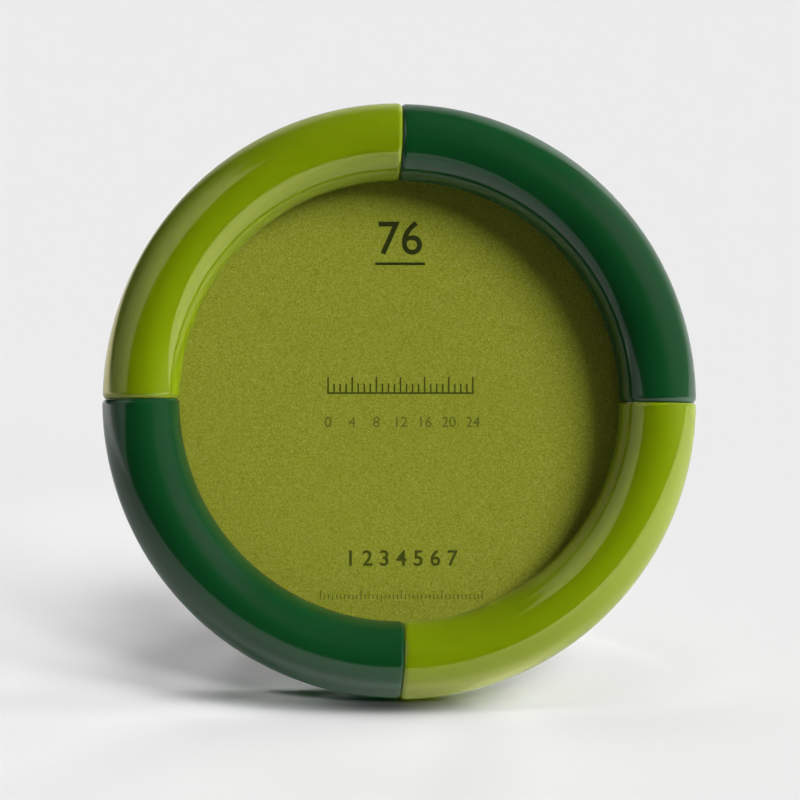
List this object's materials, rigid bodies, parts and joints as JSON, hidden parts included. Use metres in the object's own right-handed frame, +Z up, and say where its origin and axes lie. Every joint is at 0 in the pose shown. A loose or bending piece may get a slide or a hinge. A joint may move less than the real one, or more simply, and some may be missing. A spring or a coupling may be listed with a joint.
{
  "type": "round photo frame",
  "caption": "Round tabletop photo frame: a glossy tube ring in two alternating colours around a glazed print, leaning on a hinged strut; turn buttons release the backing board.",
  "frame": {"origin": "middle of the bounding box's footprint, at the height of the table it stands on", "axes": "+Z up, +X to the right of someone facing the picture, -Y towards that person; the frame leans back 21 degrees towards +Y"},
  "size_m": [0.098, 0.047, 0.0925],
  "materials": {
    "lacquer_lime": "high gloss",
    "lacquer_green": "high gloss",
    "glass": "clear, polished",
    "insert_paper": "pearlescent, fine grain",
    "hardboard": "pressed fibre, dull",
    "flock_cover": "short flock",
    "plated_steel": "nickel plated, satin",
    "screw_steel": "zinc plated",
    "rivet_metal": "satin",
    "dowel_steel": "plain"
  },
  "bodies": {
    "frame": {"ring_segment_upper_left": "lacquer_lime", "ring_segment_upper_right": "lacquer_green", "ring_segment_lower_right": "lacquer_lime", "ring_segment_lower_left": "lacquer_green", "segment_dowels": "dowel_steel", "glass_pane": "glass", "print_card": "insert_paper", "backing_board": "hardboard", "backing_cover": "flock_cover", "turn_button_screws": "screw_steel", "hinge_leaf_fixed": "plated_steel", "hinge_pin": "screw_steel", "board_rivets": "rivet_metal"},
    "strut": {"hinge_leaf_strut": "plated_steel", "strut_board": "hardboard", "strut_facing": "flock_cover", "strut_rivets": "rivet_metal"},
    "turn_button_upper_left": {"turn_button_upper_left": "plated_steel"},
    "turn_button_upper_right": {"turn_button_upper_right": "plated_steel"},
    "turn_button_lower_left": {"turn_button_lower_left": "plated_steel"},
    "turn_button_lower_right": {"turn_button_lower_right": "plated_steel"}
  },
  "joints": [
    {"name": "strut_hinge", "type": "hinge", "parent": "frame", "child": "strut", "pos_m": [0.00004, 0.00899, 0.05497], "axis": [-1, 0, 0], "range_deg": [0, 35]},
    {"name": "turn_upper_left", "type": "hinge", "parent": "frame", "child": "turn_button_upper_left", "pos_m": [-0.03008, 0.0146, 0.07223], "axis": [0, 0.9336, -0.3584], "continuous": true},
    {"name": "turn_upper_right", "type": "hinge", "parent": "frame", "child": "turn_button_upper_right", "pos_m": [0.03016, 0.0146, 0.07223], "axis": [0, 0.9336, -0.3584], "continuous": true},
    {"name": "turn_lower_left", "type": "hinge", "parent": "frame", "child": "turn_button_lower_left", "pos_m": [-0.03008, -0.00699, 0.01599], "axis": [0, 0.9336, -0.3584], "continuous": true},
    {"name": "turn_lower_right", "type": "hinge", "parent": "frame", "child": "turn_button_lower_right", "pos_m": [0.03016, -0.00699, 0.01599], "axis": [0, 0.9336, -0.3584], "continuous": true}
  ]
}
